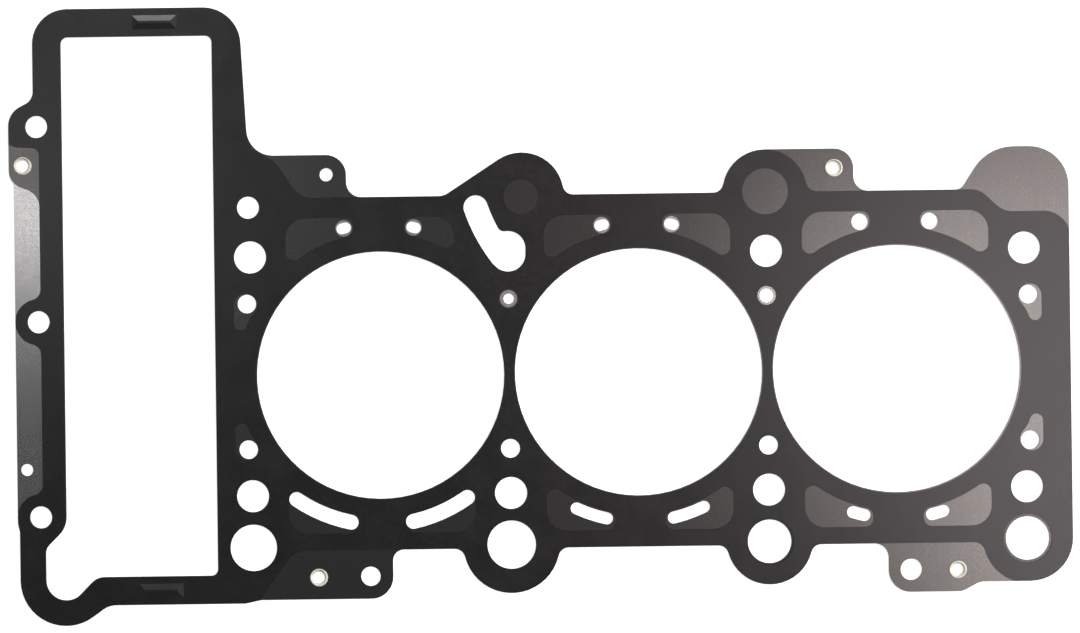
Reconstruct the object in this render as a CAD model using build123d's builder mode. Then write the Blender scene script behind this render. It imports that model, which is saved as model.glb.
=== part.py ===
"""Cylinder head gasket for a row of three cylinders, with an opening for the timing chain case at one end.

Two steel sheets lie on each other. The upper one is flat. The lower one is wider along the chain case,
meters some coolant holes, and has a full bead pressed down around each bore. Four brass eyelets hold
the two together.

Millimetres. The origin is on the middle bore's axis at the lower sheet's underside, +X runs along the
cylinders away from the chain case, and +Z points to the cylinder head.
"""

import os
from math import atan2, cos, degrees, radians, sin, sqrt, tan

from build123d import *

os.makedirs("parts", exist_ok=True)

# The row of cylinders
cylinders = 3
bore_spacing = 90.0
bore_radius = 43.1

# Head bolts, in two rows and in line with the gaps between the cylinders
bolt_row_half = 41.65
bolt_hole_radius = 5.6

# The sheets
lower_thickness = 0.4
upper_thickness = 0.25

# Bead around each bore, pressed towards the engine block
bead_height = 0.2
bead_margin = 0.8
bead_width = 3.0
bead_flank = 0.8

# Edges of the cylinder part, from the bolts, and how far tabs reach beyond them
margin_top = 20.55
margin_bottom = 19.25
margin_right = 15.75
tab_reach_top = 14.85
tab_reach_bottom = 17.0

# Oil return holes, below the lower bolts; the lower sheet narrows some of them
oil_hole_drop = 18.05
oil_hole_radius = 8.45
lower_oil_radii = [8.1, 8.45, 7.6, 7.6]
oil_boss_radii = [16.85, 15.0]
oil_boss_blend = 3.6
corner_boss_radius = 14.9

# Oil feed hole, above the first bolt
feed_hole_rise = 17.35
feed_hole_offset = 0.5
feed_hole_radius = 3.85

# Small coolant holes between the two bolt rows; the lower sheet meters the upper ones
gap_hole_inset = 15.55
gap_hole_radius = 3.3
lower_gap_radii = [1.8, 2.45]
end_hole_inset = 16.25
end_hole_offset = 1.3
end_hole_radius = 3.25

# Coolant holes above each bore; the lower sheet meters them with slots, and the last two with round holes
water_hole_offset = 12.2
water_hole_rise = 8.3
water_hole_radius = 2.95
lower_water_radius = 2.8
metering_length = 5.1
metering_width = 3.7
metering_tilt = 15.0

# Coolant slots below each bore, with their first and last angles from straight down
slot_clearance = 9.2
slot_widths = [5.2, 4.2, 4.2]
slot_angles = [(12.0, 34.7), (12.9, 25.1), (13.0, 17.6)]

# The long coolant opening, placed from the upper row's second bolt hole, which it runs into
long_slot_path = [(-11.1, 16.45), (-7.4, 7.75), (-2.2, -0.45)]
long_slot_width = 8.4
long_slot_lobe_radius = 6.05
long_slot_lobe_stretch = 2.0
long_slot_waist_rise = 8.85
long_slot_waist_radius = 2.5

# Domes on the upper edge, near the inner bolts
dome_offsets = [5.0, -0.2]
dome_radius = 14.7
dome_blend = 3.6
saddle_slope = 33.0
saddle_radius = 5.9

# Tabs on the upper edge
first_tab_reach = 33.8
first_tab_corner = 7.0
first_tab_blend = 5.3
first_tab_hole_inset = 6.9
first_tab_hole_radius = 2.3
second_tab_reach = 30.75
second_tab_corner = 6.8
second_tab_blend = 5.1

# The broad ear at the far upper corner
ear_foot_reach = 37.45
ear_foot_radius = 3.8
ear_shoulder_reach = 27.85
ear_left_radius = 16.0
ear_right_radius = 13.8

# Tabs on the lower edge
lower_tab_reach = 48.55
lower_tab_corner = 7.5
left_tab_blend = 3.9
right_tab_blend = 5.0
lower_tab_hole_inset = 7.8
left_tab_hole_radius = 3.4
right_tab_hole_radius = 3.75
step_reach = (38.75, 32.45)
step_radius = 5.0

# The window for the chain case, and the frame around it
window_gap = 12.5
window_width = 52.7
window_rise = 57.0
window_drop = 8.3
window_corner = 2.4
frame_width = 9.85
frame_left_corner = 12.2
frame_right_corner = 13.0
frame_step = (3.0, -2.5)
neck_top_width = 9.4
neck_foot_width = 12.2
neck_radius = 9.4

# The frame's rounded foot
foot_offset = (-0.3, -0.95)
foot_outer_radius = 15.9
foot_inner_radius = 7.0
foot_outer_ramp = 36.0
foot_inner_ramp = 46.0
foot_outer_blend = 8.0
foot_inner_blend = 6.2
foot_boss_blend = 4.0
ramp_margin = 0.05

# Screw holes down the frame's outer side, with bosses on the upper sheet
frame_hole_inset = 8.8
frame_hole_drop = 31.1
frame_hole_spacing = 68.1
frame_hole_radius = 3.85
frame_boss_radius = 8.1
frame_boss_blend = 3.5
bar_offset = 0.8

# The lower sheet's strip down that side
strip_reach = 8.15
strip_radius = 3.0
strip_top = (-17.3, -20.2)
strip_bottom = (-2.3, -5.5)
strip_hole_inset = 3.45
strip_hole_rise = 16.6
strip_hole_radius = 2.1

# The tab at the top of the strip
side_tab_reach = 9.75
side_tab_rise = 4.9
side_tab_shoulder = 4.5
side_tab_corner = 7.6
side_tab_blend = 4.6
side_tab_drop = 19.5
side_tab_fall = 4.0
side_tab_sweep = 6.5

# Ribs pressed up in the frame's top and bottom bars
rib_offset = 6.55
rib_length = 15.4
rib_width = 4.8
rib_height = 0.5
rib_flank = 2.0

# Brass eyelets
eyelet_bore_radius = 1.95
eyelet_wall = 0.25
eyelet_clearance = 0.1
eyelet_flange_radius = 3.15
eyelet_roll_height = 0.35
eyelet_roll_inset = 0.4
eyelet_inset = 6.8
eyelet_rise = 7.6
side_eyelet_inset = 4.85
side_eyelet_drop = 13.6
lower_eyelet_reach = (25.9, 24.0)

# Heights, columns and edges that follow
upper_top = lower_thickness + upper_thickness
bore_x = [bore_spacing * (i - (cylinders - 1) / 2) for i in range(cylinders)]
bolt_x = [bore_spacing * (i - cylinders / 2) for i in range(cylinders + 1)]
block_top = bolt_row_half + margin_top
block_bottom = -bolt_row_half - margin_bottom
block_right = bolt_x[-1] + margin_right
tab_top = block_top + tab_reach_top
tab_bottom = block_bottom - tab_reach_bottom
window_right = bolt_x[0] - window_gap
window_left = window_right - window_width
window_top = block_top + window_rise
window_bottom = block_bottom - window_drop
frame_left = window_left - frame_width
frame_top = window_top + frame_width
frame_bottom = window_bottom - frame_width

# Places that follow
oil_hole_y = -bolt_row_half - oil_hole_drop
corner_bottom = oil_hole_y - corner_boss_radius
gap_hole_y = bolt_row_half - gap_hole_inset
end_hole_x = bolt_x[-1] + end_hole_offset
end_hole_y = bolt_row_half - end_hole_inset
water_hole_y = bore_radius + water_hole_rise
dome_x = [x + offset for x, offset in zip(bolt_x[1:3], dome_offsets)]
dome_y = tab_top - dome_radius
first_tab_right = bolt_x[0] + first_tab_reach
second_tab_right = bolt_x[2] + second_tab_reach
left_tab_right = bolt_x[0] + lower_tab_reach
right_tab_left = bolt_x[-1] - lower_tab_reach
foot_x = window_left + foot_offset[0]
foot_y = window_bottom + foot_offset[1]
frame_hole_x = window_left - frame_hole_inset
frame_hole_y = [window_top - frame_hole_drop - frame_hole_spacing * i for i in range(3)]
bar_left = frame_hole_x + bar_offset
strip_left = frame_hole_x - strip_reach
side_tab_left = frame_hole_x - side_tab_reach
side_tab_top = frame_hole_y[0] + side_tab_rise
side_tab_bottom = frame_hole_y[0] - side_tab_drop
eyelets = {
    "eyelet_side_tab": (side_tab_left + side_eyelet_inset, frame_hole_y[0] - side_eyelet_drop),
    "eyelet_upper_tab": (second_tab_right - eyelet_inset, tab_top - eyelet_inset),
    "eyelet_lower_left_tab": (left_tab_right - lower_eyelet_reach[0], tab_bottom + eyelet_rise),
    "eyelet_lower_right_tab": (right_tab_left + lower_eyelet_reach[1], tab_bottom + eyelet_rise),
}
eyelet_hole_radius = eyelet_bore_radius + eyelet_wall + eyelet_clearance


def rounded(corners):
    """A face whose corners are given as (x, y, rounding radius)."""
    with BuildSketch() as face:
        with BuildLine():
            FilletPolyline(
                *[(x, y) for x, y, _ in corners],
                radius=[radius for _, _, radius in corners],
                close=True,
            )
        make_face()
    return face.sketch


def nearest(shape, x, y):
    """The vertex of a shape that lies nearest to a point."""
    return shape.vertices().sort_by_distance((x, y, 0))[0]


def arc_slot(x, width, first, last):
    """A coolant slot around the bore at x, its angles in degrees from straight down."""
    with BuildLine() as path:
        CenterArc((x, 0), bore_radius + slot_clearance, first - 90, last - first)
    with BuildSketch() as slot:
        SlotArc(path.wire(), width)
    return slot.sketch


# The corners that both sheets share, from the frame's foot round to the side tab
foot_left = foot_x - foot_outer_radius
foot_bottom = foot_y - foot_outer_radius
foot_ramp_x = foot_x + foot_outer_radius * tan(radians(foot_outer_ramp / 2)) + ramp_margin
foot_ramp_top_x = foot_ramp_x + (frame_bottom - foot_bottom) / tan(radians(foot_outer_ramp))
saddle_top_x = dome_x[0] - dome_radius * sin(radians(saddle_slope))
saddle_top_y = dome_y + dome_radius * cos(radians(saddle_slope))
saddle_foot_x = saddle_top_x - (saddle_top_y - block_top) / tan(radians(saddle_slope))
shared_corners = [
    (foot_left, foot_bottom, foot_outer_radius),
    (foot_ramp_x, foot_bottom, foot_outer_radius),
    (foot_ramp_top_x, frame_bottom, foot_outer_blend),
    (bolt_x[0] - frame_step[0], frame_bottom, step_radius),
    (bolt_x[0] - frame_step[1], tab_bottom, step_radius),
    (left_tab_right, tab_bottom, lower_tab_corner),
    (left_tab_right, block_bottom, left_tab_blend),
    (right_tab_left, block_bottom, right_tab_blend),
    (right_tab_left, tab_bottom, lower_tab_corner),
    (block_right - step_reach[0], tab_bottom, step_radius),
    (block_right - step_reach[1], corner_bottom, step_radius),
    (block_right, corner_bottom, corner_boss_radius),
    (block_right, tab_top, ear_right_radius),
    (block_right - ear_shoulder_reach, tab_top, ear_left_radius),
    (block_right - ear_foot_reach, block_top, ear_foot_radius),
    (second_tab_right, block_top, second_tab_blend),
    (second_tab_right, tab_top, second_tab_corner),
    (dome_x[1], tab_top, 0),
    (dome_x[1], block_top, 0),
    (dome_x[0], block_top, 0),
    (saddle_top_x, saddle_top_y, 0),
    (saddle_foot_x, block_top, saddle_radius),
    (first_tab_right, block_top, first_tab_blend),
    (first_tab_right, tab_top, first_tab_corner),
    (window_right + neck_foot_width, tab_top, neck_radius),
    (window_right + neck_top_width, frame_top, frame_right_corner),
    (frame_left, frame_top, frame_left_corner),
    (frame_left, side_tab_top + side_tab_shoulder, side_tab_blend),
    (side_tab_left, side_tab_top, side_tab_corner),
]


def sheet_outline(side_corners):
    """A sheet's outer edge, with the corners given for its chain side, the domes and the oil bosses."""
    with BuildSketch() as outline:
        add(rounded(shared_corners + side_corners))
        for x, radius in zip(bolt_x[1:3], oil_boss_radii):
            with Locations((x, oil_hole_y)):
                Circle(radius)
        with Locations([(x, dome_y) for x in dome_x]):
            Circle(dome_radius)
        for x, radius in zip(bolt_x[1:3], oil_boss_radii):
            half = sqrt(radius**2 - (oil_hole_y - block_bottom) ** 2)
            fillet(nearest(outline, x - half, block_bottom), oil_boss_blend)
            fillet(nearest(outline, x + half, block_bottom), oil_boss_blend)
        half = sqrt(dome_radius**2 - (dome_y - block_top) ** 2)
        fillet(nearest(outline, dome_x[0] + half, block_top), dome_blend)
        fillet(nearest(outline, dome_x[1] - half, block_top), dome_blend)
    return outline.sketch


lower_outline = sheet_outline(
    [
        (side_tab_left, frame_hole_y[0] + strip_top[0], strip_radius),
        (strip_left, frame_hole_y[0] + strip_top[1], 0),
        (strip_left, frame_hole_y[2] + strip_bottom[0], strip_radius),
        (foot_left, frame_hole_y[2] + strip_bottom[1], strip_radius),
    ]
)

with BuildSketch() as upper_outline:
    add(
        sheet_outline(
            [
                (side_tab_left, side_tab_bottom, side_tab_sweep),
                (bar_left, side_tab_bottom - side_tab_fall, side_tab_sweep),
                (bar_left, frame_hole_y[2], 0),
                (foot_left, frame_hole_y[2], 0),
            ]
        )
    )
    with Locations([(frame_hole_x, y) for y in frame_hole_y[1:]]):
        Circle(frame_boss_radius)
    half = sqrt(frame_boss_radius**2 - (bar_left - frame_hole_x) ** 2)
    fillet(nearest(upper_outline, bar_left, frame_hole_y[1] + half), frame_boss_blend)
    fillet(nearest(upper_outline, bar_left, frame_hole_y[1] - half), frame_boss_blend)
    fillet(nearest(upper_outline, bar_left, frame_hole_y[2] + half), frame_boss_blend)

# The window's corners, with a boss that reaches in around the lowest screw hole
window_boss_radius = window_left - frame_hole_x
window_boss_y = frame_hole_y[2] - window_boss_radius * tan(radians(22.5))
inner_left = foot_x - foot_inner_radius
inner_bottom = foot_y - foot_inner_radius
inner_ramp_x = foot_x + foot_inner_radius * tan(radians(foot_inner_ramp / 2)) + ramp_margin
inner_ramp_top_x = inner_ramp_x + (window_bottom - inner_bottom) / tan(radians(foot_inner_ramp))
window_corners = [
    (window_left, window_top, window_corner),
    (window_right, window_top, window_corner),
    (window_right, window_bottom, window_corner),
    (inner_ramp_top_x, window_bottom, foot_inner_blend),
    (inner_ramp_x, inner_bottom, foot_inner_radius),
    (inner_left, inner_bottom, foot_inner_radius),
    (inner_left, window_boss_y - (window_left - inner_left), foot_boss_blend),
    (window_left, window_boss_y, window_boss_radius),
]

# The long slot: a bent slot that runs into a stretched bolt hole, drawn from that hole's centre
with BuildLine() as long_slot_line:
    ThreePointArc(*long_slot_path)
with BuildSketch() as long_slot:
    SlotArc(long_slot_line.wire(), long_slot_width)
    with Locations((0, long_slot_lobe_stretch / 2)):
        SlotCenterToCenter(long_slot_lobe_stretch, 2 * long_slot_lobe_radius, rotation=90)
    fillet(nearest(long_slot, 0, long_slot_waist_rise), long_slot_waist_radius)

# Openings that are the same in both sheets
with BuildSketch() as shared_openings:
    add(rounded(window_corners))
    with Locations((bolt_x[1], bolt_row_half)):
        add(long_slot.sketch)
    for x, width, (first, last) in zip(bore_x, slot_widths, slot_angles):
        add(arc_slot(x, width, first, last))
        add(arc_slot(x, width, -last, -first))
    with Locations([(x, 0) for x in bore_x]):
        Circle(bore_radius)
    with Locations([(x, y) for x in bolt_x for y in (bolt_row_half, -bolt_row_half)]):
        Circle(bolt_hole_radius)
    with Locations([(x, -gap_hole_y) for x in bolt_x[1:3]]):
        Circle(gap_hole_radius)
    with Locations([(x, y) for x in (-end_hole_x, end_hole_x) for y in (-end_hole_y, end_hole_y)]):
        Circle(end_hole_radius)
    with Locations([(frame_hole_x, y) for y in frame_hole_y]):
        Circle(frame_hole_radius)
    with Locations((bolt_x[0] - feed_hole_offset, bolt_row_half + feed_hole_rise)):
        Circle(feed_hole_radius)
    with Locations((first_tab_right - first_tab_hole_inset, tab_top - first_tab_hole_inset)):
        Circle(first_tab_hole_radius)
    with Locations((left_tab_right - lower_tab_hole_inset, tab_bottom + lower_tab_hole_inset)):
        Circle(left_tab_hole_radius)
    with Locations((right_tab_left + lower_tab_hole_inset, tab_bottom + lower_tab_hole_inset)):
        Circle(right_tab_hole_radius)
    with Locations(list(eyelets.values())):
        Circle(eyelet_hole_radius)

with BuildSketch() as upper_openings:
    add(shared_openings.sketch)
    with Locations([(x, oil_hole_y) for x in bolt_x]):
        Circle(oil_hole_radius)
    with Locations([(x, gap_hole_y) for x in bolt_x[1:3]]):
        Circle(gap_hole_radius)
    with Locations([(x + side * water_hole_offset, water_hole_y) for x in bore_x for side in (-1, 1)]):
        Circle(water_hole_radius)

with BuildSketch() as lower_openings:
    add(shared_openings.sketch)
    for x, radius in zip(bolt_x, lower_oil_radii):
        with Locations((x, oil_hole_y)):
            Circle(radius)
    for x, radius in zip(bolt_x[1:3], lower_gap_radii):
        with Locations((x, gap_hole_y)):
            Circle(radius)
    for x in bore_x[:-1]:
        for side in (-1, 1):
            with Locations((x + side * water_hole_offset, water_hole_y)):
                SlotOverall(metering_length, metering_width, rotation=-side * metering_tilt)
    with Locations([(bore_x[-1] + side * water_hole_offset, water_hole_y) for side in (-1, 1)]):
        Circle(lower_water_radius)
    with Locations((strip_left + strip_hole_inset, frame_hole_y[2] + strip_hole_rise)):
        Circle(strip_hole_radius)

# The beads stand below the lower sheet, and the same form is a groove in its upper face
bead_inner = bore_radius + bead_margin
bead_outer = bead_inner + bead_width
with BuildPart() as beads:
    with Locations([(x, 0, -bead_height / 2) for x in bore_x]):
        Cone(bead_outer - bead_flank, bead_outer, bead_height)
    with Locations([(x, 0, -bead_height / 2) for x in bore_x]):
        Cone(bead_inner + bead_flank, bead_inner, bead_height, mode=Mode.SUBTRACT)

with BuildPart() as lower_sheet:
    with BuildSketch():
        add(lower_outline)
    extrude(amount=lower_thickness)
    add(beads.part)
    add(beads.part.moved(Location((0, 0, lower_thickness))), mode=Mode.SUBTRACT)
    with BuildSketch():
        add(lower_openings.sketch)
    extrude(amount=lower_thickness, mode=Mode.SUBTRACT)
lower_sheet.part.label = "lower_sheet"
export_step(lower_sheet.part, "parts/lower_sheet.step")

# A rib is the same form above the sheet and in the hollow below it
rib_draft = degrees(atan2(rib_flank, rib_height))
rib_x = (window_left + window_right) / 2 + rib_offset
rib_places = [(rib_x, window_top + frame_width / 2), (rib_x, window_bottom - frame_width / 2)]
with BuildPart() as upper_sheet:
    with BuildSketch(Plane.XY.offset(lower_thickness)):
        add(upper_outline.sketch)
    extrude(amount=upper_thickness)
    with BuildSketch(Plane.XY.offset(upper_top)):
        with Locations(rib_places):
            Rectangle(rib_length, rib_width)
    extrude(amount=rib_height, taper=rib_draft)
    with BuildSketch(Plane.XY.offset(lower_thickness)):
        with Locations(rib_places):
            Rectangle(rib_length, rib_width)
    extrude(amount=rib_height, taper=rib_draft, mode=Mode.SUBTRACT)
    with BuildSketch(Plane.XY.offset(lower_thickness)):
        add(upper_openings.sketch)
    extrude(amount=upper_thickness, mode=Mode.SUBTRACT)
upper_sheet.part.label = "upper_sheet"
export_step(upper_sheet.part, "parts/upper_sheet.step")

# Eyelets: a flat flange below, as thick as the beads are high, and the barrel's other end rolled over above
barrel_radius = eyelet_bore_radius + eyelet_wall
roll_top = upper_top + eyelet_roll_height
for name, (x, y) in eyelets.items():
    with BuildPart() as eyelet:
        with BuildSketch(Plane(origin=(x, y, 0), x_dir=(1, 0, 0), z_dir=(0, -1, 0))):
            with BuildLine():
                Polyline(
                    (eyelet_bore_radius, -bead_height),
                    (eyelet_flange_radius, -bead_height),
                    (eyelet_flange_radius, 0),
                    (barrel_radius, 0),
                    (barrel_radius, upper_top),
                    (eyelet_flange_radius, upper_top),
                    (eyelet_flange_radius - eyelet_roll_inset, roll_top),
                    (eyelet_bore_radius, roll_top),
                    close=True,
                )
            make_face()
        revolve(axis=Axis((x, y, 0), (0, 0, 1)))
    eyelet.part.label = name
    export_step(eyelet.part, f"parts/{name}.step")
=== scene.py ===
from math import acos, atan2, cos, degrees, pi, radians, sin, sqrt, tan

import bmesh
import bpy
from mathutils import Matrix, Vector


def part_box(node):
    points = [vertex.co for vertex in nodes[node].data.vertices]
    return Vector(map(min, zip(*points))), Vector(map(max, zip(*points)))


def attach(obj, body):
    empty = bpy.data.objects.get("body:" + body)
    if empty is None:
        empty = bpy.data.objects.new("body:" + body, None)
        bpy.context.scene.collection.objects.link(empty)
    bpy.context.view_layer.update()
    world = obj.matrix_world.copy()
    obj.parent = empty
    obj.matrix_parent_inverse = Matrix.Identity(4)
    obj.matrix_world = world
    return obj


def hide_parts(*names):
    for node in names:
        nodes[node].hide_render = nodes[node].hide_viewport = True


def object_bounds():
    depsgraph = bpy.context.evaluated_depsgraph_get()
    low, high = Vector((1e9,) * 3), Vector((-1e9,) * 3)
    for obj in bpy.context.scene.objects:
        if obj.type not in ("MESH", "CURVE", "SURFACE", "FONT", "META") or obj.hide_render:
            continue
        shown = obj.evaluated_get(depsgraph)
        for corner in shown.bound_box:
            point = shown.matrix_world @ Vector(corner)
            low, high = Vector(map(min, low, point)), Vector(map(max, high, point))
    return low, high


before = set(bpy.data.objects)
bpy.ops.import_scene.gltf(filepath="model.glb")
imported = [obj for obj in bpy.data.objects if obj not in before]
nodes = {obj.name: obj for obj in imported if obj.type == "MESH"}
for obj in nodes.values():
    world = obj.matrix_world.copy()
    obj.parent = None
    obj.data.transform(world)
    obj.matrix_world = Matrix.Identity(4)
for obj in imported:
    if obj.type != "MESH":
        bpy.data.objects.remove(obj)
cad_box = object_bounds()

# ---- The upper sheet -------------------------------------------------------------------------------------
# A flat blank of 0.25 mm spring steel, punched in one stroke. It stays bare on its tabs, around the coolant
# passages and on its cut edges, where the fine grain left by the rolling mill shows.
mm = 0.001
lower_thickness = 0.4 * mm
upper_thickness = 0.25 * mm
face_height = lower_thickness + upper_thickness
# A face counts as level where the upright part of its normal is larger than this.
level_share = 0.5
# Most of a mixed grain lies between these two values.
grain_low, grain_high = 0.38, 0.62


def node_material(name):
    """A new material, with its node tree and its shader."""
    material = bpy.data.materials.new(name)
    material.use_nodes = True
    tree = material.node_tree
    return material, tree, tree.nodes["Principled BSDF"]


def grain(tree, scale, detail=3.0, stretch=(1.0, 1.0, 1.0)):
    """Noise on the piece's own coordinates, in waves per metre, drawn out where stretch is small."""
    place = tree.nodes.new("ShaderNodeTexCoord")
    mapping = tree.nodes.new("ShaderNodeMapping")
    mapping.inputs["Scale"].default_value = stretch
    noise = tree.nodes.new("ShaderNodeTexNoise")
    noise.inputs["Scale"].default_value = scale
    noise.inputs["Detail"].default_value = detail
    tree.links.new(place.outputs["Object"], mapping.inputs["Vector"])
    tree.links.new(mapping.outputs["Vector"], noise.inputs["Vector"])
    return noise.outputs["Fac"]


def between(tree, factor, low, high, from_low=0.3, from_high=0.7):
    """A value that runs from low to high as the factor runs over its usual spread."""
    spread = tree.nodes.new("ShaderNodeMapRange")
    spread.inputs["From Min"].default_value = from_low
    spread.inputs["From Max"].default_value = from_high
    spread.inputs["To Min"].default_value = low
    spread.inputs["To Max"].default_value = high
    tree.links.new(factor, spread.inputs["Value"])
    return spread.outputs["Result"]


def blended(tree, one, other, share):
    """Two values mixed, with the given share of the second."""
    mix = tree.nodes.new("ShaderNodeMix")
    mix.inputs["Factor"].default_value = share
    tree.links.new(one, mix.inputs["A"])
    tree.links.new(other, mix.inputs["B"])
    return mix.outputs["Result"]


def tones(tree, factor, stops):
    """A colour from stops given as (position, (red, green, blue))."""
    ramp = tree.nodes.new("ShaderNodeValToRGB")
    elements = ramp.color_ramp.elements
    while len(elements) < len(stops):
        elements.new(0.5)
    for element, (position, colour) in zip(elements, stops):
        element.position = position
        element.color = (*colour, 1.0)
    tree.links.new(factor, ramp.inputs["Fac"])
    return ramp.outputs["Color"]


def bump(tree, shader, height, depth):
    """Relief of the given depth in metres."""
    relief = tree.nodes.new("ShaderNodeBump")
    relief.inputs["Strength"].default_value = 1.0
    relief.inputs["Distance"].default_value = depth
    tree.links.new(height, relief.inputs["Height"])
    tree.links.new(relief.outputs["Normal"], shader.inputs["Normal"])


def rolled_steel(name, dark, light, smooth, rough, metallic=1.0):
    """Cold-rolled sheet: a fine speckle, faint clouds, and streaks drawn out along the rolling direction."""
    material, tree, shader = node_material(name)
    speckle = grain(tree, scale=1500.0)
    clouds = grain(tree, scale=130.0)
    streaks = grain(tree, scale=700.0, stretch=(1.0, 0.06, 1.0))
    shader.inputs["Metallic"].default_value = metallic
    worn = blended(tree, blended(tree, speckle, clouds, share=0.2), streaks, share=0.15)
    colour = tones(tree, worn, [(grain_low, dark), (grain_high, light)])
    tree.links.new(colour, shader.inputs["Base Color"])
    tree.links.new(between(tree, worn, rough, smooth, grain_low, grain_high), shader.inputs["Roughness"])
    bump(tree, shader, speckle, depth=0.00035 * mm)
    return material


def edge_with_painted_shade():
    """The torn edge that a punch leaves, scored from top to bottom and rougher than the face; its near-black
    colour is painted shade on the walls.
    """
    material, tree, shader = node_material("cut edge with painted shade")
    # Near-black tones: painted shade on the walls of the holes and the outline.
    dark, light = (0.035, 0.033, 0.032), (0.085, 0.08, 0.077)
    shader.inputs["Metallic"].default_value = 1.0
    scores = grain(tree, scale=900.0, stretch=(1.0, 1.0, 0.15))
    tree.links.new(tones(tree, scores, [(0.35, dark), (0.65, light)]), shader.inputs["Base Color"])
    tree.links.new(between(tree, scores, 0.45, 0.6), shader.inputs["Roughness"])
    return material


def dress(piece, *materials):
    """Give a piece its materials, in the order in which its faces number them."""
    piece.data.materials.clear()
    for material in materials:
        piece.data.materials.append(material)


upper = nodes["upper_sheet"]
upper_steel = rolled_steel(
    "bare spring steel", dark=(0.254, 0.243, 0.24), light=(0.294, 0.281, 0.278), smooth=0.272, rough=0.298
)
punched = edge_with_painted_shade()
dress(upper, upper_steel, punched)
# Upright faces take the cut edge, whose near-black colour is painted shade.
for face in upper.data.polygons:
    face.material_index = 1 if abs(face.normal.z) < level_share else 0

# ---- The coating -----------------------------------------------------------------------------------------
# Black fluoro elastomer, screen printed 0.03 mm thick on the upper sheet's outer face and cured. The screen
# leaves a pad bare at each coolant passage, the tabs, two discs, four drops and a rim around each bore.
coating_thickness = 0.03 * mm
bore_spacing = 90.0 * mm
bore_radius = 43.1 * mm
bore_places = [-bore_spacing, 0.0, bore_spacing]
rim_width, rim_steps = 0.35 * mm, 96
full_reach, short_reach = 32.5 * mm, 26.2 * mm
small_disc = (-40.3 * mm, 61.6 * mm, 6.0 * mm)
large_disc = (44.9 * mm, 62.4 * mm, 8.0 * mm)
disc_steps = 48
# In millimetres: the block's edges, where the coating ends, and lines outside the gasket's outline.
upper_edge, lower_edge = 62.2, -60.9
above, below = 84.0, -84.0
left_of_all, right_of_all = -225.0, 157.0


def heading(x, y):
    """The direction of a step, in degrees."""
    return degrees(atan2(y, x))


def swing(first, last):
    """The shorter turn from one direction to another, in degrees."""
    return (last - first + 180) % 360 - 180


def arc(x, y, radius, first, last, steps=14):
    """Points along an arc, its angles in degrees."""
    turns = [radians(first + (last - first) * i / steps) for i in range(steps + 1)]
    return [(x + radius * cos(turn), y + radius * sin(turn)) for turn in turns]


def circle(x, y, radius, steps):
    """Points around a circle."""
    return arc(x, y, radius, 0, 360, steps)[:-1]


def rounded(corners):
    """Points around a shape whose corners are given as (x, y, rounding radius), in millimetres."""
    points = []
    for i, (x, y, radius) in enumerate(corners):
        corner = Vector((x, y)) * mm
        if radius == 0:
            points.append(tuple(corner))
            continue
        before = (Vector(corners[i - 1][:2]) * mm - corner).normalized()
        after = (Vector(corners[(i + 1) % len(corners)][:2]) * mm - corner).normalized()
        half = before.angle(after) / 2
        centre = corner + (before + after).normalized() * radius * mm / sin(half)
        start = corner + before * radius * mm / tan(half) - centre
        end = corner + after * radius * mm / tan(half) - centre
        first = heading(*start)
        points += arc(*centre, radius * mm, first, first + swing(first, heading(*end)))
    return points


def coolant_pad(reach):
    """The bare pad on a bore's upper right, out to its reach, with its lower side round the bore."""
    inner, top = 8.8 * mm, 55.0 * mm
    end, corner, tip = 2.9 * mm, 7.0 * mm, 2.8 * mm
    hollow = 49.7 * mm
    end_x, end_y = inner + end, sqrt((hollow + end) ** 2 - (inner + end) ** 2)
    tip_x, tip_y = reach - tip, sqrt((hollow + tip) ** 2 - (reach - tip) ** 2)
    end_turn, tip_turn = heading(end_x, end_y), heading(tip_x, tip_y)
    points = arc(end_x, end_y, end, end_turn + 180, 180)
    points += arc(end_x, top - end, end, 180, 90)
    points += arc(reach - corner, top - corner, corner, 90, 0)
    points += arc(tip_x, tip_y, tip, 0, tip_turn - 180)
    return points + arc(0, 0, hollow, tip_turn, end_turn)[1:-1]


def drop():
    """The bare drop at the upper right end hole: a larger and a smaller circle, joined by a straight outer
    side and a hollow inner one."""
    big_x, big_y, big = 136.75 * mm, 25.05 * mm, 4.05 * mm
    small_x, small_y, small = 138.5 * mm, 18.6 * mm, 2.3 * mm
    hollow = 12.0 * mm
    gap = sqrt((small_x - big_x) ** 2 + (small_y - big_y) ** 2)
    along = heading(small_x - big_x, small_y - big_y)
    lean = degrees(acos((big - small) / gap))
    bend = degrees(acos(((big + hollow) ** 2 + gap**2 - (small + hollow) ** 2) / (2 * (big + hollow) * gap)))
    hollow_x = big_x + (big + hollow) * cos(radians(along - bend))
    hollow_y = big_y + (big + hollow) * sin(radians(along - bend))
    small_turn = heading(hollow_x - small_x, hollow_y - small_y)
    points = arc(big_x, big_y, big, along + lean, along + 360 - bend)
    points += arc(hollow_x, hollow_y, hollow, along + 180 - bend, small_turn + 180)[1:-1]
    return points + arc(small_x, small_y, small, small_turn, along + lean)


def mirrored(points, across_x, across_y):
    """The same shape mirrored left to right, top to bottom, or both."""
    return [(-x if across_x else x, -y if across_y else y) for x, y in points]


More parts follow.
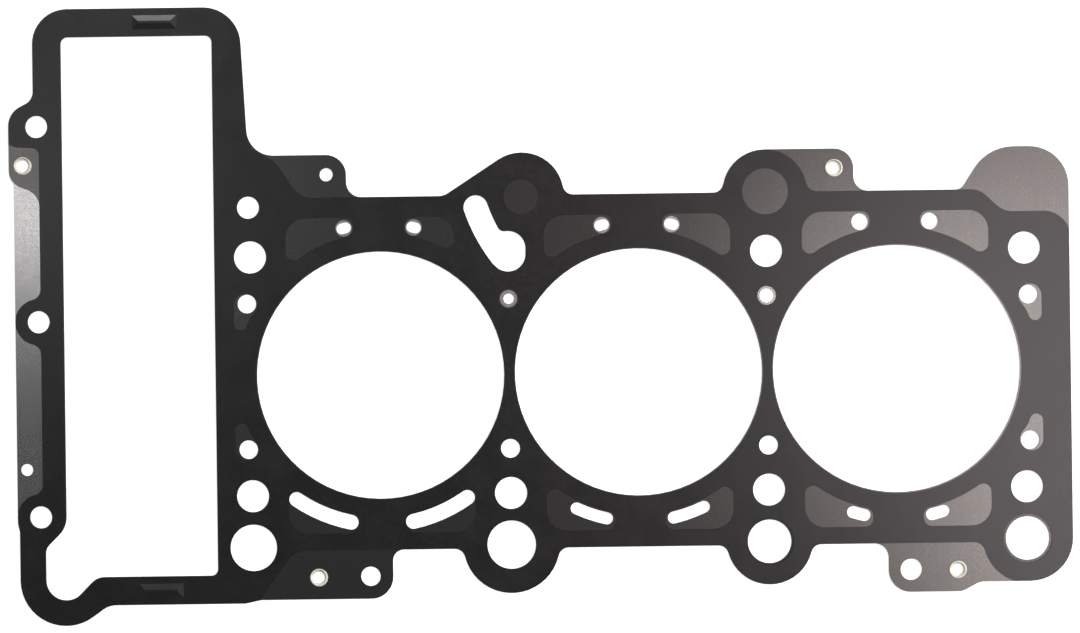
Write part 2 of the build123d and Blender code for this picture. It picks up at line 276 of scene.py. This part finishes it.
def tab_beside(boss, edge, corner, far):
    """A bare tab whose border runs round a coated boss, given as (x, y, radius), through a rounded corner and
    along the block's edge to a far point. All its sizes are in millimetres."""
    x, y, radius = [size * mm for size in boss]
    edge, corner, far_x, far_y = edge * mm, corner * mm, far[0] * mm, far[1] * mm
    side = 1 if far_y > edge else -1
    corner_y = edge + corner * side
    corner_x = x + sqrt((radius + corner) ** 2 - (corner_y - y) ** 2) * (1 if far_x > x else -1)
    outwards = 90 * side
    leaving = heading(corner_x - x, corner_y - y)
    entering = heading(x - corner_x, y - corner_y)
    points = [(x, far_y)]
    points += arc(x, y, radius, outwards, outwards + swing(outwards, leaving))
    points += arc(corner_x, corner_y, corner, entering, entering + swing(entering, -outwards))
    return points + [(far_x, edge), (far_x, far_y)]


def add(name, data):
    """A new object in the scene."""
    thing = bpy.data.objects.new(name, data)
    bpy.context.scene.collection.objects.link(thing)
    return thing


def mesh_from(name, form):
    """A mesh with a form's faces. The form is let go."""
    mesh = bpy.data.meshes.new(name)
    form.to_mesh(mesh)
    form.free()
    return mesh


def settled(name, piece):
    """A new object with the mesh that a piece's modifiers give it."""
    bpy.context.view_layer.update()
    evaluated = piece.evaluated_get(bpy.context.evaluated_depsgraph_get())
    return add(name, bpy.data.meshes.new_from_object(evaluated))


def printed_elastomer():
    """Cured elastomer, satin, with the faint blotches and the fine grain of a screen print."""
    material, tree, shader = node_material("black elastomer")
    dark, light = (0.0072, 0.0072, 0.0072), (0.0115, 0.0113, 0.0115)
    blotches = blended(tree, grain(tree, scale=900.0, detail=4.0), grain(tree, scale=90.0), share=0.45)
    shader.inputs["IOR"].default_value = 1.9
    shader.inputs["Specular Tint"].default_value = (1.0, 0.96, 1.0, 1.0)
    colour = tones(tree, blotches, [(grain_low, dark), (grain_high, light)])
    tree.links.new(colour, shader.inputs["Base Color"])
    tree.links.new(between(tree, blotches, 0.315, 0.36, grain_low, grain_high), shader.inputs["Roughness"])
    bump(tree, shader, grain(tree, scale=2600.0, detail=2.0), depth=0.002 * mm)
    return material


quarters = [(left, low) for left in (False, True) for low in (False, True)]
bare_shapes = []
for bore_x in bore_places:
    for left, low in quarters:
        # The first bore's upper right pad stops short of the long coolant opening.
        cut_short = bore_x == bore_places[0] and not left and not low
        pad = mirrored(coolant_pad(short_reach if cut_short else full_reach), left, low)
        bare_shapes.append([(bore_x + x, y) for x, y in pad])
for left, low in quarters:
    bare_shapes.append(mirrored(drop(), left, low))
bare_shapes.append(circle(*small_disc, disc_steps))
bare_shapes.append(circle(*large_disc, disc_steps))
for bore_x in bore_places:
    bare_shapes.append(circle(bore_x, 0, bore_radius + rim_width, rim_steps))

first_upper_tab = [
    (-134, above, 0), (-134, 79.6, 0), (-125.7, 74.8, 10), (-117.4, upper_edge, 8), (-95, upper_edge, 0),
    (-95, above, 0),
]  # fmt: skip
first_lower_tab = [
    (-133, below, 0), (-133, -78, 0), (-120.8, lower_edge, 8), (-80, lower_edge, 0), (-80, below, 0),
]  # fmt: skip
ear = [
    (107, above, 0), (107, upper_edge, 0), (119.6, upper_edge, 8), (127.9, 54.4, 8), (151.25, 54.4, 9.5),
    (151.25, 35, 0), (right_of_all, 35, 0), (right_of_all, above, 0),
]  # fmt: skip
side_tab = [
    (left_of_all, 84.9, 0), (-216.3, 81, 5), (-208.2, 80.6, 2.5), (-208.2, 58, 0), (left_of_all, 58, 0),
]  # fmt: skip
for corners in (first_upper_tab, first_lower_tab, ear, side_tab):
    bare_shapes.append(rounded(corners))
bare_shapes.append(tab_beside(boss=(44.8, 62.35, 14.7), edge=upper_edge, corner=4.0, far=(82.0, above)))
bare_shapes.append(tab_beside(boss=(135.0, -59.7, 15.6), edge=lower_edge, corner=4.0, far=(80.0, below)))

# The coating starts as a copy of the sheet's outer face, with all of its openings.
outer_face = bmesh.new()
outer_face.from_mesh(upper.data)
bmesh.ops.remove_doubles(outer_face, verts=outer_face.verts, dist=0.0001 * mm)
hidden = [face for face in outer_face.faces if face.normal.z < level_share]
bmesh.ops.delete(outer_face, geom=hidden, context="FACES")
printed = add("printed_face", mesh_from("coating", outer_face))

# The screen's bare shapes, as solid blocks through the print.
screen_foot, screen_depth = face_height - 0.2 * mm, 1.4 * mm
screen_form = bmesh.new()
for points in bare_shapes:
    ring = [screen_form.verts.new((x, y, screen_foot)) for x, y in points]
    face = screen_form.faces.new(ring)
    raised = bmesh.ops.extrude_face_region(screen_form, geom=[face], use_keep_orig=True)
    top = [v for v in raised["geom"] if isinstance(v, bmesh.types.BMVert)]
    bmesh.ops.translate(screen_form, verts=top, vec=(0, 0, screen_depth))
bmesh.ops.recalc_face_normals(screen_form, faces=screen_form.faces)
screen = add("screen", mesh_from("screen", screen_form))

layer = printed.modifiers.new("layer", "SOLIDIFY")
layer.thickness = coating_thickness
layer.offset = 1.0
cut = printed.modifiers.new("bare", "BOOLEAN")
cut.operation = "DIFFERENCE"
cut.solver = "EXACT"
cut.object = screen
coating = settled("coating", printed)
bpy.data.objects.remove(printed)
bpy.data.objects.remove(screen)
elastomer = printed_elastomer()
dress(coating, elastomer)
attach(coating, "root")

# ---- The lips in the oil returns -------------------------------------------------------------------------
# The lower sheet narrows three of the oil returns, and a lip of it shows inside each. Two lips carry the
# black print, and the last one is steel in a darker grey than the sheets.
oil_return_y = -59.7 * mm
oil_return_radius = 8.44 * mm
# (centre, the lip's inner radius)
oil_lips = [(-135.0 * mm, 8.1 * mm), (45.0 * mm, 7.6 * mm), (135.0 * mm, 7.6 * mm)]
lip_steps = 72


def lip(form, inner, outer):
    """A thin closed ring on the lower sheet, between an opening's outline and a wider one."""
    foot, top = lower_thickness, lower_thickness + coating_thickness
    rings = []
    for outline, height in ((inner, foot), (outer, foot), (outer, top), (inner, top)):
        rings.append([form.verts.new((x, y, height)) for x, y in outline])
    for near, far in zip(rings, rings[1:] + rings[:1]):
        for i in range(len(near)):
            form.faces.new((near[i - 1], near[i], far[i], far[i - 1]))


def lip_piece(name, form, *finishes):
    """The rings as a piece on the gasket, with their finishes."""
    bmesh.ops.recalc_face_normals(form, faces=form.faces)
    piece = add(name, mesh_from(name, form))
    dress(piece, *finishes)
    return piece


oil_form = bmesh.new()
for lip_x, lip_radius in oil_lips:
    inner = circle(lip_x, oil_return_y, lip_radius, lip_steps)
    outer = circle(lip_x, oil_return_y, oil_return_radius, lip_steps)
    lip(oil_form, inner, outer)
# The last lip's steel is coloured a darker grey than the sheets' own.
darker_lip_steel = rolled_steel(
    "darker lip steel", dark=(0.14, 0.134, 0.13), light=(0.164, 0.158, 0.153), smooth=0.272, rough=0.298
)
oil_return_lips = lip_piece("oil_return_lips", oil_form, elastomer, darker_lip_steel)
for face in oil_return_lips.data.polygons:
    face.material_index = 1 if face.center.x > oil_lips[-1][0] - 2 * oil_return_radius else 0
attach(oil_return_lips, "root")

# ---- The lips that meter the coolant ---------------------------------------------------------------------
# The lower sheet also narrows the coolant holes above the first two bores, each to a short tilted slot, and
# the round hole between them. These lips are coloured lighter than the lower sheet's steel: painted light,
# making up for the shade they lie in below the upper sheet's hole edges.
water_hole_offset, water_hole_y, water_hole_radius = 12.2 * mm, 51.4 * mm, 2.86 * mm
slot_half, slot_straight, slot_tilt = 1.85 * mm, 0.7 * mm, 15
gap_hole_x, gap_hole_y = -45.0 * mm, 26.1 * mm
gap_hole_radius, gap_hole_metered = 2.95 * mm, 1.8 * mm


def slot_reach(turn):
    """How far the slot's edge is from its middle, in a direction given in degrees from its length."""
    along, across = abs(cos(radians(turn))), abs(sin(radians(turn)))
    if along * slot_half < across * slot_straight:
        return slot_half / across
    return slot_straight * along + sqrt(slot_half**2 - (slot_straight * across) ** 2)


metering_form = bmesh.new()
for bore_x in bore_places[:2]:
    for side in (-1, 1):
        x, y = bore_x + side * water_hole_offset, water_hole_y
        turns = [360 * i / lip_steps for i in range(lip_steps)]
        reaches = [slot_reach(turn + side * slot_tilt) for turn in turns]
        inner = [(x + r * cos(radians(t)), y + r * sin(radians(t))) for t, r in zip(turns, reaches)]
        lip(metering_form, inner, circle(x, y, water_hole_radius, lip_steps))
inner = circle(gap_hole_x, gap_hole_y, gap_hole_metered, lip_steps)
outer = circle(gap_hole_x, gap_hole_y, gap_hole_radius, lip_steps)
lip(metering_form, inner, outer)
# Near-white steel tones: painted light on lips that lie in shade.
lightened_lip_steel = rolled_steel(
    "lip steel lightened by painted light", dark=(0.86, 0.845, 0.835), light=(0.93, 0.915, 0.905), smooth=0.3, rough=0.36,
    metallic=0.88,
)  # fmt: skip
metering_lips = lip_piece("metering_lips", metering_form, lightened_lip_steel)
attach(metering_lips, "root")

# ---- The lower sheet -------------------------------------------------------------------------------------
# A 0.4 mm blank of smoother, brighter strip steel. Its upper face shows as a narrow strip along the chain
# case and through the metering holes. Its underside, with the beads, has the same black coating.
lower = nodes["lower_sheet"]
lower_steel = rolled_steel(
    "bright strip steel", dark=(0.71, 0.692, 0.688), light=(0.79, 0.772, 0.768), smooth=0.215, rough=0.235,
    metallic=0.95,
)  # fmt: skip
dress(lower, lower_steel, elastomer, punched)
# The lower sheet's upright faces take the same cut edge, with its painted shade.
for face in lower.data.polygons:
    if face.normal.z < -level_share:
        face.material_index = 1
    elif face.normal.z < level_share:
        face.material_index = 2
    else:
        face.material_index = 0

# ---- The eyelets -----------------------------------------------------------------------------------------
# Four brass eyelets hold the sheets together at the tabs. Each is a thin drawn tube with a flat flange below,
# pushed through both sheets and rolled over above, which leaves its rim a little out of round.
eyelet_names = [n for n in nodes if n.startswith("eyelet")]
# (radius, height) in millimetres, from the bore's foot around the flange, the tube and the rolled rim
eyelet_bore, eyelet_reach = 1.95, 3.15
rim_foot, crest_foot, crest_inside = 0.66, 0.9, 2.6
eyelet_section = [
    (eyelet_bore, -0.2), (3.05, -0.2), (eyelet_reach, -0.12), (eyelet_reach, -0.01), (2.2, -0.01),
    (2.2, rim_foot), (3.12, rim_foot), (eyelet_reach, 0.7), (3.13, 0.77), (3.07, 0.84), (2.98, 0.92),
    (2.84, 0.98), (2.65, 1.0), (2.53, 0.985), (2.45, 0.92), (2.4, 0.82), (2.36, 0.72), (2.3, 0.7),
    (2.02, 0.695), (eyelet_bore, 0.65),
]  # fmt: skip
# How far the crest's inner edge is torn back on one side, and the rim's lopsided and three-cornered shares.
tear, lopsided, three_cornered = 0.08, 0.035, 0.015
eyelet_steps = 64
brass_foot, brass_top = -0.2 * mm, 1.1 * mm
# From below upwards: brass flange; bore and ledge near white, a painted reflection; painted shade on the step
# and the outer edge; crest near white, a painted reflection.
brass_and_painted_light_tones = [
    (0.14, (0.62, 0.5, 0.25)),
    (0.24, (0.97, 0.94, 0.82)),
    (0.755, (1.0, 1.0, 0.92)),
    (0.775, (0.24, 0.18, 0.06)),
    (0.82, (0.36, 0.27, 0.09)),
    (0.852, (1.0, 1.0, 0.92)),
]
least_turn, most_turn, turn_seed = radians(50), radians(150), 5


def rolled_ring(form, turn):
    """The eyelet's section at one direction around it, given in radians."""
    bulge = lopsided * cos(turn) ** 3 - three_cornered * cos(3 * turn)
    ring = []
    for radius, height in eyelet_section:
        spread = 1 + bulge * (height > rim_foot) * (radius - eyelet_bore) / (eyelet_reach - eyelet_bore)
        torn = tear * (1 + cos(turn)) * (height > crest_foot) * (radius < crest_inside)
        reach = min(radius * spread + torn, eyelet_reach) * mm
        ring.append(form.verts.new((reach * cos(turn), reach * sin(turn), height * mm)))
    return ring


def brass_with_painted_light():
    """Brass painted near white on its bore and crest as painted reflection, with painted shade banding its
    step and outer edge.
    """
    material, tree, shader = node_material("brass with painted reflection and shade")
    shader.inputs["Metallic"].default_value = 0.03
    stain = grain(tree, scale=700.0)
    place = tree.nodes.new("ShaderNodeTexCoord")
    parts = tree.nodes.new("ShaderNodeSeparateXYZ")
    tree.links.new(place.outputs["Object"], parts.inputs["Vector"])
    height = between(tree, parts.outputs["Z"], 0.0, 1.0, brass_foot, brass_top)
    # The height picks the bands of painted reflection and painted shade, and noise makes their borders
    # uneven.
    painted_band_height = blended(tree, height, stain, share=0.08)
    tree.links.new(tones(tree, painted_band_height, brass_and_painted_light_tones), shader.inputs["Base Color"])
    tree.links.new(between(tree, stain, 0.3, 0.42), shader.inputs["Roughness"])
    bump(tree, shader, grain(tree, scale=2200.0, detail=2.0), depth=0.003 * mm)
    return material


form = bmesh.new()
rings = [rolled_ring(form, 2 * pi * step / eyelet_steps) for step in range(eyelet_steps)]
for here, there in zip(rings, rings[1:] + rings[:1]):
    for i in range(len(eyelet_section)):
        face = form.faces.new((here[i - 1], there[i - 1], there[i], here[i]))
        face.smooth = True
bmesh.ops.recalc_face_normals(form, faces=form.faces)
eyelet_form = add("eyelet_form", mesh_from("eyelet_form", form))
brass = brass_with_painted_light()
dress(eyelet_form, brass)

centres = [(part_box(name)[0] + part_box(name)[1]) / 2 for name in eyelet_names]
places = bpy.data.meshes.new("eyelet_places")
places.from_pydata([(centre.x, centre.y, 0) for centre in centres], [], [])
eyelet_places = add("eyelet_places", places)

group = bpy.data.node_groups.new("eyelets at the tabs", "GeometryNodeTree")
group.interface.new_socket("Places", in_out="INPUT", socket_type="NodeSocketGeometry")
form_socket = group.interface.new_socket("Eyelet", in_out="INPUT", socket_type="NodeSocketObject")
seed_socket = group.interface.new_socket("Seed", in_out="INPUT", socket_type="NodeSocketInt")
metal_socket = group.interface.new_socket("Metal", in_out="INPUT", socket_type="NodeSocketMaterial")
group.interface.new_socket("Eyelets", in_out="OUTPUT", socket_type="NodeSocketGeometry")
given = group.nodes.new("NodeGroupInput")
result = group.nodes.new("NodeGroupOutput")
info = group.nodes.new("GeometryNodeObjectInfo")
instances = group.nodes.new("GeometryNodeInstanceOnPoints")
chance = group.nodes.new("FunctionNodeRandomValue")
chance.data_type = "FLOAT"
chance.inputs["Min"].default_value = least_turn
chance.inputs["Max"].default_value = most_turn
turned = group.nodes.new("ShaderNodeCombineXYZ")
real = group.nodes.new("GeometryNodeRealizeInstances")
finish = group.nodes.new("GeometryNodeSetMaterial")
link = group.links.new
link(given.outputs["Eyelet"], info.inputs["Object"])
link(given.outputs["Places"], instances.inputs["Points"])
link(info.outputs["Geometry"], instances.inputs["Instance"])
link(given.outputs["Seed"], chance.inputs["Seed"])
link(next(s for s in chance.outputs if s.type == "VALUE" and s.enabled), turned.inputs["Z"])
link(turned.outputs["Vector"], instances.inputs["Rotation"])
link(instances.outputs["Instances"], real.inputs["Geometry"])
link(real.outputs["Geometry"], finish.inputs["Geometry"])
link(given.outputs["Metal"], finish.inputs["Material"])
link(finish.outputs["Geometry"], result.inputs["Eyelets"])
setting = eyelet_places.modifiers.new("set", "NODES")
setting.node_group = group
setting[form_socket.identifier] = eyelet_form
setting[seed_socket.identifier] = turn_seed
setting[metal_socket.identifier] = brass
eyelets = settled("eyelets", eyelet_places)
bpy.data.objects.remove(eyelet_places)
bpy.data.objects.remove(eyelet_form)
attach(eyelets, "root")
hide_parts(*eyelet_names)
for name in eyelet_names:
    dress(nodes[name], brass)

# ---- The floor -------------------------------------------------------------------------------------------
# A smooth white board under the gasket. The camera and polished surfaces see it as white, and it still takes
# the gasket's soft shadow.
board_half = 2.0
board_level = cad_box[0].z - 0.02 * mm
board_glow = 0.82


def combined(tree, operation, one, other):
    """One value made of two."""
    node = tree.nodes.new("ShaderNodeMath")
    node.operation = operation
    tree.links.new(one, node.inputs[0])
    tree.links.new(other, node.inputs[1])
    return node.outputs[0]


def white_board():
    """Matt white paint, which shines for the camera and for reflections but lights nothing."""
    material, tree, shader = node_material("white board")
    shader.inputs["Base Color"].default_value = (0.86, 0.86, 0.86, 1.0)
    shader.inputs["Roughness"].default_value = 0.9
    shader.inputs["Specular IOR Level"].default_value = 0.0
    ray = tree.nodes.new("ShaderNodeLightPath")
    seen = combined(tree, "MAXIMUM", ray.outputs["Is Camera Ray"], ray.outputs["Is Transmission Ray"])
    either = combined(tree, "MAXIMUM", seen, ray.outputs["Is Glossy Ray"])
    lift = tree.nodes.new("ShaderNodeMath")
    lift.operation = "MULTIPLY"
    lift.inputs[1].default_value = board_glow
    tree.links.new(either, lift.inputs[0])
    shader.inputs["Emission Color"].default_value = (1.0, 1.0, 1.0, 1.0)
    tree.links.new(lift.outputs[0], shader.inputs["Emission Strength"])
    return material


sides = [(-1, -1), (1, -1), (1, 1), (-1, 1)]
board_corners = [(x * board_half, y * board_half, board_level) for x, y in sides]
floor_mesh = bpy.data.meshes.new("floor")
floor_mesh.from_pydata(board_corners, [], [(0, 1, 2, 3)])
floor = add("floor", floor_mesh)
dress(floor, white_board())

# ---- Light and camera ------------------------------------------------------------------------------------
# Large warm softboxes light the right, small ones overhead lay their reflections on the steel, and one behind
# lights the ribs' upper flanks. Low side lights fill the rest. The camera looks straight down.
warm = (1.0, 0.93, 0.905)
sky_colour, sky_strength = (0.86, 0.94, 1.0, 1.0), 0.045
middle = Vector((-34.13 * mm, 19.75 * mm, face_height))
camera_height, framed_width, sensor_width = 0.55, 0.37657, 36.0
camera_turn = radians(-0.735)


def softbox(name, place, size, power, aim=(0.0, 0.0, 0.0), tint=(1.0, 1.0, 1.0)):
    """A flat lamp that faces a point on the gasket."""
    data = bpy.data.lights.new(name, "AREA")
    data.shape = "RECTANGLE"
    data.size, data.size_y = size
    data.energy = power
    data.color = tint
    lamp = add(name, data)
    lamp.location = place
    lamp.rotation_mode = "QUATERNION"
    lamp.rotation_quaternion = (Vector(aim) - Vector(place)).to_track_quat("-Z", "Y")


softbox("right_wall", (1.9, 0.1, 0.8), (1.2, 1.4), 37.0, tint=warm)
softbox("upper_right", (1.2, 0.95, 1.2), (0.7, 0.9), 17.0, tint=warm)
softbox("overhead_right", (0.47, 0.05, 1.2), (0.2, 0.45), 0.7, tint=warm)
softbox("lower_right", (0.61, -0.25, 1.2), (0.26, 0.32), 0.88, tint=warm)
softbox("overhead_left", (-0.62, 0.17, 1.2), (0.14, 0.31), 0.245, aim=(-0.2, 0.05, 0.0))
softbox("lower_left", (-0.32, -0.24, 1.2), (0.24, 0.16), 0.005, aim=(-0.1, -0.05, 0.0))
softbox("back_left", (-0.51, 0.99, 1.2), (0.4, 0.3), 2.9, aim=(-0.1, 0.05, 0.0))
softbox("near_fill", (0.0, -1.9, 0.7), (1.6, 0.5), 5.0)
softbox("left_fill", (-1.9, 0.1, 0.8), (1.2, 1.4), 1.6)

world = bpy.data.worlds.new("studio")
bpy.context.scene.world = world
world.use_nodes = True
sky = world.node_tree.nodes["Background"]
sky.inputs["Color"].default_value = sky_colour
sky.inputs["Strength"].default_value = sky_strength

camera_data = bpy.data.cameras.new("camera")
camera_data.sensor_width = sensor_width
camera_data.lens = sensor_width * camera_height / framed_width
camera_data.clip_start = 0.05
camera_data.clip_end = 20.0
camera = add("camera", camera_data)
camera.location = middle + Vector((0, 0, camera_height))
camera.rotation_euler = (0, 0, camera_turn)
bpy.context.scene.camera = camera
bpy.context.scene.view_settings.view_transform = "Standard"
